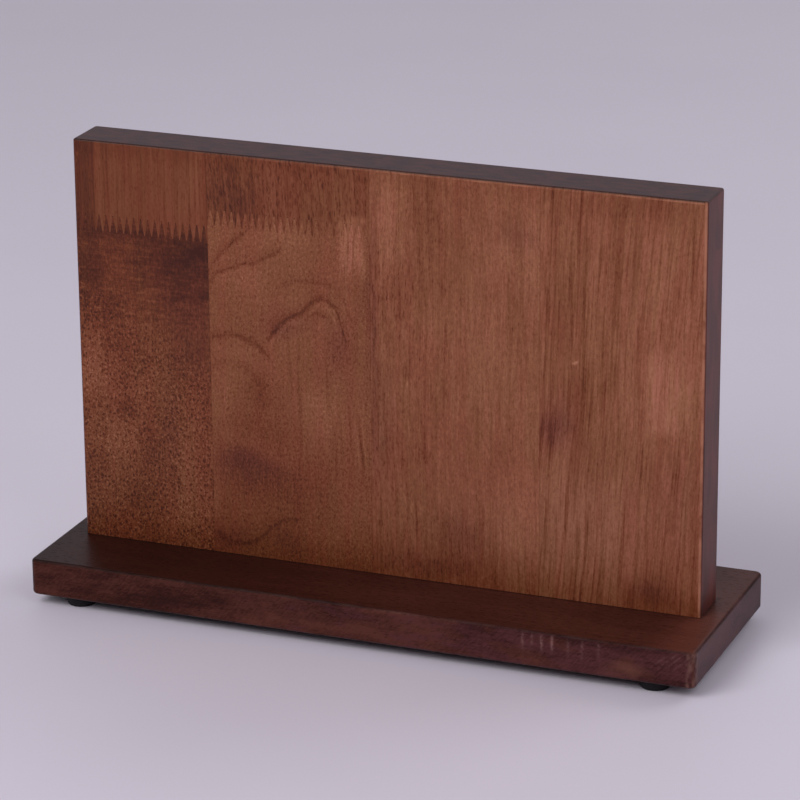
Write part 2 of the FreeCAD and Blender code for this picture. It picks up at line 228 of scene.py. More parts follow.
# Gloss of the lacquer, and how deep grain and pores go into it in mm
BOARD_GLOSS = 0.22
BASE_GLOSS = 0.12
GRAIN_DEPTH = 0.03

# A growth line's soft shade rises between the first two heights above the line, in mm, and has
# faded out at the third.
SHADE_FOOT = (-0.8, 0.4)
SHADE_REACH = 8.0


class Wood(Graph):
    """Stained wood whose fibres run along one axis, with a tone that is 0 where it is darkest."""

    def __init__(self, name, seed, along="z", lean=0.0, wander=4.0):
        super().__init__(name)
        self.shader.inputs["Specular IOR Level"].default_value = BOARD_GLOSS
        self.seed = seed
        self.tone = None
        self.fine_noise = None
        self.bruises = 0.0
        if along == "z":
            across, depth, self.length = self.x, self.y, self.z
        else:
            across, depth, self.length = self.plus(self.y, self.z), self.z, self.x
        bend = self.swing(wander, self.vector(across, 0.0, self.length), (0.008, 0, 0.009),
                          shift=seed * 7.3, detail=1.0)
        self.across = self.plus(across, bend, self.times(self.length, lean))
        self.grain = self.vector(self.across, depth, self.length)
        self.warp_pores()
        self.soft_point = self.drifted_point()

    def warp_pores(self):
        """Positions for the pores that stray a little, so that they stand in no rows."""
        stray = (0.35, 0.35, 0.25)
        sideways = self.swing(2.4, self.grain, stray, shift=self.seed, detail=2.0)
        lengthways = self.swing(3.4, self.grain, stray, shift=self.seed + 40, detail=2.0)
        self.pore_across = self.plus(self.across, sideways)
        self.pore_length = self.plus(self.length, lengthways)

    def drifted_point(self):
        """The point moved by up to 7 mm sideways and 13 mm up or down, for uneven patches."""
        cloud = self.noise(self.point, (0.05, 0.05, 0.03), shift=self.seed * 3.1, colour=True)
        drift = self.add("ShaderNodeVectorMath", operation="MULTIPLY_ADD")
        self.feed(cloud, drift.inputs[0])
        drift.inputs[1].default_value = (14, 0, 26)
        drift.inputs[2].default_value = (-7, 0, -13)
        moved = self.add("ShaderNodeVectorMath", operation="ADD")
        self.feed(drift.outputs[0], moved.inputs[0])
        self.feed(self.point, moved.inputs[1])
        return moved.outputs[0]

    def shade(self, amount, mask=1.0):
        """Lighten the tone where a mask is 1, or darken it with a negative amount."""
        self.tone = self.plus(self.tone, self.times(mask, amount))

    def fibres(self, tone, fine, streaks, broad, speckle=0.25):
        """The ground's tone with fine fibres, longer streaks, broad shades and small specks."""
        seed = self.seed
        fine_noise = self.swing(fine, self.grain, (0.95, 0.95, 0.07), shift=seed * 11.7,
                                detail=4.0, roughness=0.7)
        streak_noise = self.swing(streaks, self.grain, (0.40, 0.40, 0.010), shift=seed * 5.9,
                                  detail=3.0, roughness=0.6)
        broad_noise = self.swing(broad, self.grain, (0.045, 0.045, 0.016), shift=seed * 2.3)
        speckle_noise = self.swing(speckle, self.grain, (0.75, 0.75, 0.5), shift=seed * 9.1,
                                   detail=4.0, roughness=0.75)
        self.fine_noise = self.plus(fine_noise, speckle_noise)
        self.tone = self.plus(tone, self.fine_noise, streak_noise, broad_noise)

    def patch(self, amount, x, z, wide, tall):
        """A soft darker or lighter patch on the face, with its two radii."""
        self.shade(amount, self.blob(self.soft_point, (x, 0, z), (wide, None, tall)))

    def bruise(self, amount, x, z, wide, tall):
        """A soft dark purplish patch, for mineral stain that has got into the wood, and in two places
        for painted reflection.
        """
        mask = self.blob(self.soft_point, (x, 0, z), (wide, None, tall))
        self.shade(-amount, mask)
        self.bruises = self.plus(self.bruises, self.times(mask, amount * 4))

    def dash(self, amount, x, z, half_width, half_length, lean=0.0):
        """One dash along the fibres, light, or dark if the amount is negative."""
        along = self.minus(self.z, z)
        across = self.minus(self.minus(self.x, x), self.times(along, lean))
        place = self.vector(across, 0.0, along)
        self.shade(amount, self.blob(place, (0, 0, 0), (half_width, None, half_length)))

    def pores(self, strength, per_mm, radius, where=None, shift=17.1):
        """Dark dots or short dashes of random sizes; a negative strength makes them pale."""
        dots = self.spots(self.pore_across, self.pore_length, per_mm, self.seed * shift, radius)
        if where is not None:
            dots = self.times(dots, where)
        self.shade(-strength, dots)
        return dots

    def streaks(self, strength, per_mm, where=None, shift=3.7):
        """Long thin dark streaks along the fibres, where a stretched noise runs high."""
        noise = self.noise(self.grain, (per_mm[0], per_mm[0], per_mm[1]), shift=self.seed * shift,
                           detail=2.0, roughness=0.55)
        lines = self.fade(noise, 0.53, 0.66)
        if where is not None:
            lines = self.times(lines, where)
        self.shade(-strength, lines)
        return lines

    def height_of_line(self, points, x):
        """The height at x of a smooth line through points (x, z)."""
        low_x, high_x = points[0][0], points[-1][0]
        low_z, high_z = min(z for _, z in points), max(z for _, z in points)
        position = self.fraction(x, low_x, high_x)
        curve = self.add("ShaderNodeFloatCurve")
        line = curve.mapping.curves[0]
        places = [((x - low_x) / (high_x - low_x), (z - low_z) / (high_z - low_z))
                  for x, z in points]
        while len(line.points) < len(places):
            line.points.new(0.5, 0.5)
        for spot, place in zip(line.points, places):
            spot.location = place
        curve.mapping.update()
        self.feed(position, curve.inputs["Value"])
        return self.plus(self.times(curve.outputs[0], high_z - low_z), low_z)

    def growth_line(self, strength, points, width=1.0, shade=0.30):
        """A dark line through points (x, z) on the face, or a pale one if the strength is negative."""
        low_x, high_x = points[0][0], points[-1][0]
        wobble = self.swing(3.0, self.point, (0.16, 0.16, 0.16), shift=low_x, detail=3.0)
        height = self.height_of_line(points, self.plus(self.x, wobble))
        above = self.minus(self.plus(self.z, wobble), height)
        core = self.math("EXPONENT", self.times(above, above, -1 / width ** 2))
        soft = self.times(self.fade(above, *SHADE_FOOT),
                          self.fade(above, SHADE_REACH, SHADE_FOOT[1]), shade)
        ends = self.times(self.fade(self.x, low_x - 0.5, low_x + 3.5),
                          self.fade(self.x, high_x + 0.5, high_x - 3.5))
        broken = self.fade(self.noise(self.point, (0.35, 0.35, 0.35), shift=low_x, detail=2.0),
                           0.18, 0.52)
        self.shade(-strength, self.times(ends, self.plus(self.times(core, broken), soft)))


def board_face_colour(g, name):
    """The face: darker along the glue lines and the top, with painted shade towards the foot, and
    purple and warm tints.
    """
    low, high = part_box(name)
    left, right = low[0] / MM, high[0] / MM
    from_seam = g.math("MINIMUM", g.minus(g.x, left), g.minus(right, g.x))
    g.shade(-0.10, g.fade(from_seam, 0.6, 0.1))
    # Painted shade: the face darkens towards its foot, where the base shades it.
    g.shade(-0.14, g.fade(g.z, BOARD_LOW[2] + 20, BOARD_LOW[2] - 2))
    g.shade(-0.06, g.fade(g.z, BOARD_HIGH[2] - 12, BOARD_HIGH[2] - 3))
    colour = g.ramp(g.times(g.tone, 1 / TONE_SPAN), BOARD_TONES)
    bruised = g.math("MINIMUM", g.bruises, 1.0)
    colour = g.mix(bruised, colour, (0.96, 0.98, 1.35), "MULTIPLY")
    warm_streaks = g.noise(g.grain, (0.30, 0.30, 0.012), shift=g.seed + 60, detail=3.0)
    warm_clouds = g.noise(g.point, (0.035, 0.035, 0.025), shift=g.seed + 70, detail=3.0)
    warmth = g.fade(g.plus(g.times(warm_streaks, 0.5), g.times(warm_clouds, 0.5)), 0.40, 0.60)
    tint = g.mix(warmth, (1.025, 0.96, 1.00), (0.98, 1.035, 0.99))
    return g.mix(1.0, colour, tint, "MULTIPLY")


def board_edge_colour(g, from_top):
    """The narrow sides, and the top, which is darker and bluer as painted shade."""
    stain_noise = g.noise(g.point, (0.12, 0.12, 0.035), shift=g.seed, detail=4.0)
    dark_stain = [c * 0.72 for c in EDGE_STAIN]
    pale_stain = [c * 1.35 for c in EDGE_STAIN]
    side_colour = g.mix(g.fade(stain_noise, 0.3, 0.7), dark_stain, pale_stain)
    # Painted shade: the top gets a darker, bluer colour than the sides, as if less lit.
    shaded_top_noise = g.noise(g.point, (0.10, 0.25, 0.25), shift=g.seed + 90, detail=4.0, roughness=0.6)
    shaded_top_colour = g.mix(g.fade(shaded_top_noise, 0.35, 0.65), (0.028, 0.0085, 0.0100),
                       (0.058, 0.0160, 0.0150))
    return g.mix(g.fade(from_top, 1.0, 0.3), side_colour, shaded_top_colour)


def board_arris_colour(g, colour, from_face, from_top):
    """A dark line of stain along the top and left arrises, and rubbed wood on the right one."""
    from_left = g.minus(g.x, BOARD_LOW[0])
    from_right = g.minus(BOARD_HIGH[0], g.x)
    dark_line = g.times(g.fade(from_face, 1.3, 0.4),
                        g.fade(g.math("MINIMUM", from_top, from_left), 1.0, 0.4))
    colour = g.mix(g.times(dark_line, 0.8), colour, [c * 0.12 for c in EDGE_STAIN])

    # The top arris is rubbed through in places only, and not near its left end.
    wear_noise = g.noise(g.point, (0.10, 0.25, 0.10), shift=g.seed + 4, detail=3.0)
    side_rub = g.times(g.fade(from_right, 2.0, 1.0), g.fade(from_right, 0.0, 0.5),
                       g.fade(wear_noise, 0.25, 0.6))
    top_rub = g.times(g.fade(from_top, 2.0, 1.3), g.fade(from_top, 0.7, 1.1),
                      g.plus(0.35, g.fade(wear_noise, 0.42, 0.62)), g.fade(g.x, -110, 0), 0.4)
    rub = g.times(g.math("MAXIMUM", side_rub, top_rub), g.fade(from_face, 1.2, 0.3))
    return g.mix(g.times(rub, 0.75), colour, RUBBED_WOOD)


def board_finish(g, name, dots):
    """Finish a board stave: stained face, dark edges, rubbed arrises, satin lacquer."""
    from_face = g.minus(BOARD_HIGH[1], g.size(g.y))
    from_top = g.minus(BOARD_HIGH[2], g.z)
    on_face = g.fade(from_face, 1.0, 0.3)
    colour = g.mix(on_face, board_edge_colour(g, from_top), board_face_colour(g, name))
    colour = board_arris_colour(g, colour, from_face, from_top)

    # Pores and fibres show on the faces, and finer end grain on the edges.
    end_grain = g.noise(g.point, (1.3, 1.3, 1.3), shift=g.seed + 80, detail=4.0, roughness=0.7)
    fine = g.plus(g.times(g.fine_noise, on_face),
                  g.times(g.minus(end_grain, 0.5), 0.6, g.minus(1.0, on_face)))
    face_dots = g.times(dots, on_face)
    roughness = g.plus(0.42, g.times(face_dots, 0.15), g.times(fine, 0.25))
    height = g.minus(g.plus(0.5, fine), face_dots)
    g.finish(colour, roughness, height, GRAIN_DEPTH)
    dress([name], g)


def front_stave_1_upper():
    """Straight fine fibres, with a darker strip along its outer edge."""
    g = Wood("stave_1_upper_wood", seed=1.0, wander=2.0)
    g.fibres(0.56, fine=0.40, streaks=0.40, broad=0.2, speckle=0.30)
    g.shade(-0.26, g.fade(g.x, BOARD_LOW[0] + 14.5, BOARD_LOW[0] + 9.5))
    g.streaks(0.09, (0.75, 0.012))
    g.patch(0.05, -108, 222, 9, 26)
    for x in (-106.5, -103.0):
        g.dash(0.12, x, 232, 0.9, 26)
    g.dash(0.25, -172, 240, 0.7, 1.6)
    g.dash(0.16, -172.4, 236, 0.5, 0.9)
    dots = g.pores(0.10, (0.6, 0.16), 0.30)
    board_finish(g, "front_stave_1_upper", dots)


def front_stave_1_lower():
    """Dark and cross-banded under the joint, lighter and coarsely pored further down."""
    g = Wood("stave_1_lower_wood", seed=2.0, wander=2.0)
    g.fibres(0.545, fine=0.38, streaks=0.12, broad=0.25, speckle=0.95)
    from_left = g.minus(g.x, BOARD_LOW[0])
    under_joint = g.fade(g.minus(g.z, g.times(from_left, 0.42)), 132, 166)
    bands = g.swing(0.6, g.soft_point, (0.02, 0.05, 0.11), shift=5.0, detail=4.0, roughness=0.6)
    rays = g.swing(0.5, g.point, (0.10, 0.10, 0.75), shift=8.0, detail=2.0)
    g.shade(1.0, g.times(g.plus(bands, rays), g.fade(g.z, 140, 160)))
    g.shade(-0.10, under_joint)
    g.shade(-0.14, g.fade(g.z, 138, 196))
    for amount, x, z, wide, tall in (
            (0.20, -104, 187, 22, 12), (0.16, -106, 164, 22, 16), (0.12, -108, 138, 14, 14),
            (0.10, -122, 96, 5, 22), (0.06, -133, 74, 7, 8)):
        g.bruise(amount, x, z, wide, tall)
    for amount, x, z, wide, tall in (
            (-0.10, -158, 152, 9, 9), (-0.10, -151, 138, 9, 6), (-0.08, -170, 182, 8, 24),
            (0.12, -152, 177, 9, 8), (0.08, -130, 172, 8, 9), (-0.12, -150, 102, 8, 6),
            (-0.10, -145, 48, 8, 10), (0.16, -156, 82, 14, 14), (0.26, -168, 122, 9, 20),
            (0.10, -134, 112, 12, 12), (0.10, -112, 84, 14, 22), (0.08, -106, 50, 16, 18)):
        g.patch(amount, x, z, wide, tall)
    g.growth_line(0.12, [(-158, 197), (-145, 199.3), (-130, 199.6), (-112, 195), (-99, 188)])
    coarse = g.fade(g.plus(g.z, g.times(from_left, 0.62)), 198, 158)
    lower_half = g.fade(g.z, 165, 110)
    dots = g.pores(0.30, (0.46, 0.37), 0.46, where=coarse)
    g.pores(0.22, (0.62, 0.50), 0.42, where=g.times(coarse, lower_half), shift=23.9)
    g.pores(-0.24, (0.50, 0.42), 0.44, where=coarse, shift=41.7)
    g.pores(0.14, (0.8, 0.28), 0.40, shift=31.3)
    board_finish(g, "front_stave_1_lower", dots)


def front_stave_2_upper():
    """Close dark pores that lean a little."""
    g = Wood("stave_2_upper_wood", seed=3.0, lean=0.05, wander=5.0)
    g.fibres(0.62, fine=0.55, streaks=0.30, broad=0.3, speckle=0.55)
    g.shade(0.20, g.times(g.fade(g.x, -25.5, -22.5), g.fade(g.z, 224, 219)))
    g.bruise(0.12, -86, 226, 20, 16)
    g.patch(-0.06, -92, 216, 8, 8)
    dots = g.pores(0.18, (0.70, 0.15), 0.46)
    g.pores(0.16, (0.52, 0.09), 0.34, shift=23.9)
    g.streaks(0.12, (0.8, 0.025))
    board_finish(g, "front_stave_2_upper", dots)


def arched_growth_lines(g):
    """The growth lines of the second stave, from its top to its foot."""
    g.growth_line(0.20, [(-99, 180), (-96, 186), (-88, 196), (-80, 203.5), (-72, 209)], width=1.5)
    g.growth_line(0.20, [(-99, 172), (-93, 182), (-84, 186.5), (-77, 189), (-70, 190.6),
                         (-64, 194.5), (-58, 197.6), (-55.5, 201), (-53.5, 208)], width=1.4)
    g.growth_line(0.25, [(-66, 148), (-62, 152), (-57, 158), (-51, 163), (-46, 165), (-42, 169),
                         (-38, 172.7), (-33.5, 174.4), (-29, 172.3), (-25.5, 168), (-22, 158),
                         (-19, 148)], width=1.7, shade=0.35)
    g.growth_line(0.16, [(-45, 160), (-43, 162), (-39, 165.3), (-35, 166.3), (-30, 163.8),
                         (-27, 158)], width=1.3)
    g.growth_line(0.08, [(-58, 178), (-48, 182), (-36, 183), (-26, 179), (-19, 168),
                         (-15, 152)], width=2.0, shade=0.6)
    g.growth_line(0.20, [(-99, 145), (-93, 147.6), (-85, 149), (-79, 148), (-73, 146),
                         (-66, 141.5), (-62, 134)], width=1.7, shade=0.2)
    g.growth_line(0.08, [(-99, 128), (-90, 133), (-82, 133), (-74, 128), (-68, 116)],
                  width=2.0, shade=0.6)
    g.growth_line(0.17, [(-98, 42), (-92, 34), (-86, 32), (-78, 33), (-69, 38.5), (-62, 45.5),
                         (-55, 49), (-47, 50)], width=1.6, shade=0.0)

    # A paler line just inside the large arch
    g.growth_line(-0.10, [(-66, 144), (-57, 154), (-51, 159.5), (-44, 162), (-36, 170.2),
                          (-33, 171), (-29, 168), (-25, 158), (-22, 146)], width=1.8, shade=0.0)


def front_stave_2_lower():
    """Paler speckled wood with arched growth lines."""
    g = Wood("stave_2_lower_wood", seed=4.0, lean=-0.03, wander=5.0)
    g.fibres(0.70, fine=0.35, streaks=0.2, broad=0.20, speckle=1.0)
    arched_growth_lines(g)

    # A pale flare with dark streaks under the joint, at the right
    flare = g.times(g.fade(g.x, -25.0, -21.0), g.fade(g.x, -8.0, -11.0), g.fade(g.z, 182, 200))
    g.shade(0.28, flare)
    g.streaks(0.22, (0.55, 0.02), where=g.blob(g.point, (-15, 0, 205), (12, None, 22)))
    for amount, x, z, wide, tall in (
            (0.10, -60, 206, 28, 9), (0.16, -78, 182, 14, 14), (0.06, -82, 140, 12, 6),
            (-0.16, -70, 118, 11, 7), (-0.14, -68, 100, 20, 10), (-0.10, -64, 66, 22, 10),
            (0.14, -36, 112, 12, 14), (0.14, -18, 60, 12, 22), (0.14, -98, 58, 6, 18)):
        g.patch(amount, x, z, wide, tall)
    for amount, x, z, wide, tall in (
            (0.16, -55, 160, 10, 6), (0.14, -24, 150, 6, 14), (0.22, -77, 77, 20, 8),
            (0.12, -88, 36, 14, 8), (0.10, -56, 38, 10, 6), (0.16, -6.5, 170, 2.6, 40)):
        g.bruise(amount, x, z, wide, tall)

    # One long dark dash between two pale ones, and some faint ones around them
    g.dash(-0.26, -12.4, 97, 0.8, 13, lean=-0.10)
    g.dash(0.14, -10.7, 97, 0.7, 13, lean=-0.10)
    g.dash(0.14, -14.4, 95, 0.7, 13, lean=-0.10)
    for x, z in ((-24, 104), (-19, 112), (-27, 90), (-47, 118), (-31, 128), (-52, 134)):
        g.dash(-0.12, x, z, 0.9, 16, lean=-0.06)
    # Painted shade: darker towards the foot.
    g.shade(-0.14, g.fade(g.z, 110, 60))
    dots = g.pores(0.13, (0.62, 0.40), 0.44)
    g.pores(-0.10, (0.62, 0.48), 0.44, shift=41.7)
    g.pores(0.10, (0.85, 0.45), 0.42, shift=23.9)
    board_finish(g, "front_stave_2_lower", dots)


def front_stave_3():
    """Even straight fibres, paler along the left glue line and in one soft patch."""
    g = Wood("stave_3_wood", seed=5.0, wander=5.0)
    g.fibres(0.79, fine=0.58, streaks=0.30, broad=0.25, speckle=0.70)
    for amount, x, z, wide, tall in (
            (0.14, 5, 225, 8, 30), (-0.06, 32, 216, 16, 28), (0.12, 68, 206, 11, 12),
            (0.16, 83.5, 206, 5, 22), (-0.08, 22, 186, 20, 14), (-0.07, 18, 92, 24, 24),
            (0.12, 68, 140, 18, 28), (0.20, 80, 58, 20, 30)):
        g.patch(amount, x, z, wide, tall)
    for amount, x, z, wide, tall in (
            (0.10, 74, 220, 9, 7), (0.12, -1, 104, 7, 24), (0.14, 44, 54, 14, 12),
            (0.14, 24, 36, 34, 8), (0.20, -5.0, 162, 2.0, 44)):
        g.bruise(amount, x, z, wide, tall)
    g.dash(-0.26, 13.2, 139, 0.9, 4.2)
    g.dash(-0.18, 73, 211.6, 2.2, 0.8)
    g.dash(-0.28, 18.3, 62, 0.7, 13, lean=-0.07)
    g.dash(-0.22, 35.4, 164, 0.6, 8, lean=-0.04)
    g.dash(-0.18, 33.2, 187, 0.7, 7)
    g.dash(0.18, 13.6, 134, 0.6, 2.2)
    # Painted shade: darker towards the foot.
    g.shade(-0.12, g.fade(g.z, 80, 35))
    left_part = g.plus(0.5, g.times(g.fade(g.x, 40, 18), 0.5))
    dots = g.pores(0.14, (0.55, 0.10), 0.32, where=left_part)
    g.pores(0.13, (0.8, 0.20), 0.38, shift=31.3)
    g.pores(0.30, (0.55, 0.075), 0.34, shift=23.9,
            where=g.blob(g.point, (7, 0, 185), (13, None, 30)))
    g.streaks(0.12, (0.55, 0.018), where=left_part)
    board_finish(g, "front_stave_3", dots)


def front_stave_4():
    """Many thin dark streaks on redder wood, with a bright patch."""
    g = Wood("stave_4_wood", seed=6.0, lean=-0.055, wander=9.0)
    g.fibres(0.84, fine=0.58, streaks=0.32, broad=0.25, speckle=0.60)
    bright = g.times(g.fade(g.x, 143, 147), g.fade(g.x, 164, 154), g.fade(g.z, 118, 128),
                     g.fade(g.z, 178, 152))
    g.shade(0.24, bright)
    for amount, x, z, wide, tall in (
            (-0.12, 98, 184, 8, 18), (-0.12, 108, 142, 8, 16), (0.10, 140, 152, 9, 18),
            (0.10, 166, 150, 8, 20), (0.06, 154, 200, 14, 20), (0.06, 106, 72, 26, 34),
            (-0.12, 124, 240, 34, 7), (-0.06, 106, 216, 8, 22), (-0.08, 130, 104, 34, 14),
            (0.08, 116, 62, 30, 22)):
        g.patch(amount, x, z, wide, tall)
    # The last two, faint and broad low on the right, are painted reflection that turns that corner
    # greyer and bluer.
    for amount, x, z, wide, tall in (
            (0.24, 94, 122, 10, 11), (0.22, 148, 36, 13, 8), (0.06, 162, 86, 12, 26),
            (0.05, 110, 70, 30, 34)):
        g.bruise(amount, x, z, wide, tall)
    g.dash(-0.26, 167.3, 222, 0.9, 22)
    g.dash(-0.10, 170.4, 90, 1.6, 60)

    # A small pale nick
    g.dash(0.55, 104.9, 155.5, 1.0, 0.7)
    g.dash(0.55, 106.2, 156.3, 1.0, 0.7)
    # Painted shade: darker towards the foot on the right.
    g.shade(-0.10, g.times(g.fade(g.z, 70, 30), g.fade(g.x, 120, 150)))
    left_part = g.plus(0.5, g.times(g.fade(g.x, 150, 120), 0.5))
    lines = g.streaks(0.20, (0.42, 0.014), where=left_part)
    g.streaks(0.17, (0.75, 0.020), shift=8.3)
    dots = g.pores(0.12, (0.62, 0.14), 0.36)
    board_finish(g, "front_stave_4", g.math("MAXIMUM", dots, lines))


def rear_staves():
    """The rear face: the same stained wood with other figures."""
    looks = {"rear_stave_1": (0.66, 0.5), "rear_stave_2_lower": (0.5, 0.35),
             "rear_stave_2_upper": (0.7, 0.5), "rear_stave_3": (0.6, 0.6),
             "rear_stave_4_lower": (0.72, 0.45), "rear_stave_4_upper": (0.52, 0.3)}
    for k, (name, (tone, streaks)) in enumerate(looks.items()):
        g = Wood(name + "_wood", seed=10.0 + k, lean=0.02 * (k % 3 - 1), wander=8.0)
        g.fibres(tone + 0.06, fine=0.50, streaks=streaks * 0.7, broad=0.40, speckle=0.45)
        g.streaks(0.14, (0.5, 0.016))
        dots = g.pores(0.22, (0.52, 0.09 + 0.06 * (k % 3)), 0.36)
        board_finish(g, name, dots)


def base_tone(g, on_edge, arris):
    """The base's tone: mottled edges, and painted light and shade: a top that lightens to the right, a
    dark arris and a dark foot line.
    """
    mottle = g.swing(1.3, g.point, (0.03, 0.03, 0.10), shift=g.seed, detail=4.0, roughness=0.6)
    diagonal = g.vector(g.plus(g.x, g.z), g.minus(g.x, g.z), g.y)
    figure = g.swing(0.7, diagonal, (0.22, 0.9, 0.9), shift=g.seed + 3, detail=3.0)
    g.shade(1.0, g.times(on_edge, g.plus(0.29, mottle, figure)))
    g.shade(0.10, g.times(on_edge, g.fade(g.x, 100, 150)))
    g.shade(0.22, g.times(on_edge, g.fade(g.x, -90, -20), g.fade(g.x, 150, 70)))
    on_top = g.minus(1.0, on_edge)
    # Painted light and shade: the top lightens towards the right and most at its right end, and
    # darkens at its left end.
    g.shade(0.32, g.times(on_top, g.fade(g.x, -130, 60)))
    g.shade(0.30, g.times(on_top, g.fade(g.x, 155, 180)))
    g.shade(-0.12, g.times(on_top, g.fade(g.x, -170, -182)))
    # Painted shade: the top arris is darkened, more towards the left, to dim its reflection.
    g.shade(-0.22, arris)
    g.shade(-0.20, g.times(arris, g.fade(g.x, 60, -20)))
    # Painted shade: a dark line on the base around the board's foot, where it stands.
    beside_board = g.math("MAXIMUM", g.minus(g.size(g.y), BOARD_HIGH[1]),
                          g.minus(g.size(g.x), BOARD_HIGH[0]))
    g.shade(-0.30, g.fade(beside_board, 2.4, 0.4))


def base_scuffs(g, facing):
    """Pale scuffs on the front edge: seven upright ones, and four that lean to the right of them."""
    upright = [(94, 20.5, 0.6), (99, 21, 0.4), (104.3, 20.5, 0.8), (110, 20.5, 0.9),
               (118.5, 20, 0.35), (126, 19.5, 0.6), (135, 21, 0.45)]
    marks = [g.times(g.blob(g.point, (x, 0, z), (0.8, None, 4.2)), amount)
             for x, z, amount in upright]
    leaning = g.vector(g.minus(g.x, g.times(g.z, 1.1)), 0.0, g.z)
    marks += [g.times(g.blob(leaning, (x, 0, 20), (0.7, None, 4.5)), 0.35)
              for x in (146.5, 150, 153.5, 158)]
    patchy = g.fade(g.noise(g.point, (0.4, 0.4, 0.5), shift=g.seed + 30, detail=3.0), 0.30, 0.65)
    return g.times(g.plus(*marks), facing, patchy, 0.65)


def base_colour(g, on_edge, arris, from_front, from_right, from_top):
    """The base's dark stain, with scuffs and a worn corner, violet clouds of painted reflection, and a
    faint painted highlight on the top arris.
    """
    colour = g.ramp(g.tone, BASE_TONES)
    # Painted reflection: violet clouds on the edges, more towards the right, for the pale lilac
    # surroundings.
    violet_noise = g.noise(g.point, (0.05, 0.05, 0.12), shift=g.seed + 21, detail=3.0)
    violet = g.times(g.fade(g.plus(violet_noise, g.times(g.x, 0.0012)), 0.48, 0.68), on_edge)
    colour = g.mix(g.times(violet, 0.8), colour, (0.94, 0.92, 1.60), "MULTIPLY")

    # A faint painted highlight along the top arris, paler in places.
    arris_noise = g.noise(g.point, (0.06, 0.06, 0.06), shift=g.seed + 9, detail=3.0)
    pale = g.times(arris, g.fade(arris_noise, 0.40, 0.65))
    colour = g.mix(g.times(pale, 0.05), colour, (0.30, 0.17, 0.15))
    facing = g.times(g.fade(from_front, 1.8, 0.6), g.fade(from_top, 0.4, 2.0))
    colour = g.mix(base_scuffs(g, facing), colour, (0.30, 0.15, 0.14))

    # The front right corner is worn to lighter wood, and the front edge near it is orange.
    corner = g.times(g.fade(from_right, 5.5, 3.5), g.fade(from_front, 5.5, 3.5),
                     g.fade(from_top, 0.2, 1.6))
    corner_noise = g.noise(g.point, (0.35, 0.35, 0.2), shift=g.seed + 13, detail=4.0)
    worn = g.times(corner, g.fade(corner_noise, 0.30, 0.65))
    colour = g.mix(g.times(worn, 0.7), colour, (0.185, 0.092, 0.074))
    orange = g.times(g.blob(g.soft_point, (150, 0, 10.5), (11, None, 4)), facing)
    return g.mix(g.times(orange, 0.55), colour, (0.17, 0.062, 0.042))


def base_stave(name, seed):
    """Dark stained base wood."""
    g = Wood(name + "_wood", seed=seed, along="x", wander=5.0)
    g.shader.inputs["Specular IOR Level"].default_value = BASE_GLOSS
    g.fibres(0.36, fine=0.40, streaks=0.30, broad=0.35, speckle=0.40)

    # How far a point lies inside each outer plane of the base
    from_front = g.minus(g.y, BASE_LOW[1])
    from_back = g.minus(BASE_HIGH[1], g.y)
    from_right = g.minus(BASE_HIGH[0], g.x)
    from_left = g.minus(g.x, BASE_LOW[0])
    from_top = g.minus(BASE_HIGH[2], g.z)
    from_end = g.math("MINIMUM", from_left, from_right)
    from_side = g.math("MINIMUM", g.math("MINIMUM", from_front, from_back), from_end)
    on_edge = g.fade(from_side, 1.1, 0.4)
    arris = g.times(g.fade(from_side, 1.6, 0.6), g.fade(from_top, 1.6, 0.6))
    base_tone(g, on_edge, arris)

    # Pores and fibres run along the base, and the ends show finer end grain.
    along_grain = g.fade(from_end, 0.6, 2.2)
    dots = g.pores(0.14, (0.55, 0.14), 0.34, where=along_grain)
    end_grain = g.noise(g.point, (1.1, 1.1, 1.1), shift=seed + 50, detail=4.0, roughness=0.7)
    fine = g.plus(g.times(g.fine_noise, along_grain),
                  g.times(g.minus(end_grain, 0.5), 0.5, g.minus(1.0, along_grain)))
    colour = base_colour(g, on_edge, arris, from_front, from_right, from_top)
    roughness = g.plus(0.36, g.times(dots, 0.15), g.times(fine, 0.25), g.times(arris, 0.3))
    height = g.minus(g.plus(0.5, fine), dots)
    g.finish(colour, roughness, height, GRAIN_DEPTH)
    dress([name], g)


def dowels():
    """Pale unstained beech."""
    g = Wood("dowel_beech", seed=30.0)
    g.fibres(0.5, fine=0.6, streaks=0.5, broad=0.2)
    colour = g.ramp(g.tone, [(0.2, (0.42, 0.26, 0.12)), (0.8, (0.66, 0.46, 0.26))])
    g.finish(colour, g.plus(0.6, g.fine_noise), g.plus(0.5, g.fine_noise), 0.04)
    dress(["dowel_left", "dowel_right"], g)


# ---------------------------------------------------------------- rubber, steel and ferrite

RUBBER_FEET = ("foot_front_", "foot_rear_")
ZINC = (0.62, 0.62, 0.64)
YELLOW_ZINC = (0.68, 0.66, 0.60)


def feet():
    """Black moulded rubber."""
    g = Graph("foot_rubber")
    g.shader.inputs["Specular IOR Level"].default_value = 0.2
    cloud = g.noise(g.point, (0.6, 0.6, 0.6), detail=3.0)
    grit = g.noise(g.point, (6.0, 6.0, 6.0), detail=2.0)
    colour = g.mix(cloud, (0.006, 0.005, 0.006), (0.013, 0.011, 0.013))
    roughness = g.plus(0.5, g.times(grit, 0.3))
    g.finish(colour, roughness, grit, 0.03)
    dress([name for name in NODES if name.startswith(RUBBER_FEET)], g)


def steel(material_name, members, tint):
    """Zinc-plated steel with faint brushing and dull spots."""
    g = Graph(material_name)
    spots = g.noise(g.point, (0.5, 0.5, 0.5), detail=4.0)
    lines = g.noise(g.point, (0.3, 4.0, 4.0), detail=2.0)
    colour = g.mix(g.fade(spots, 0.4, 0.7), tint, [c * 0.7 for c in tint])
    g.shader.inputs["Metallic"].default_value = 1.0
    roughness = g.plus(0.25, g.times(spots, 0.25))
    g.finish(colour, roughness, lines, 0.01)
    dress(members, g)


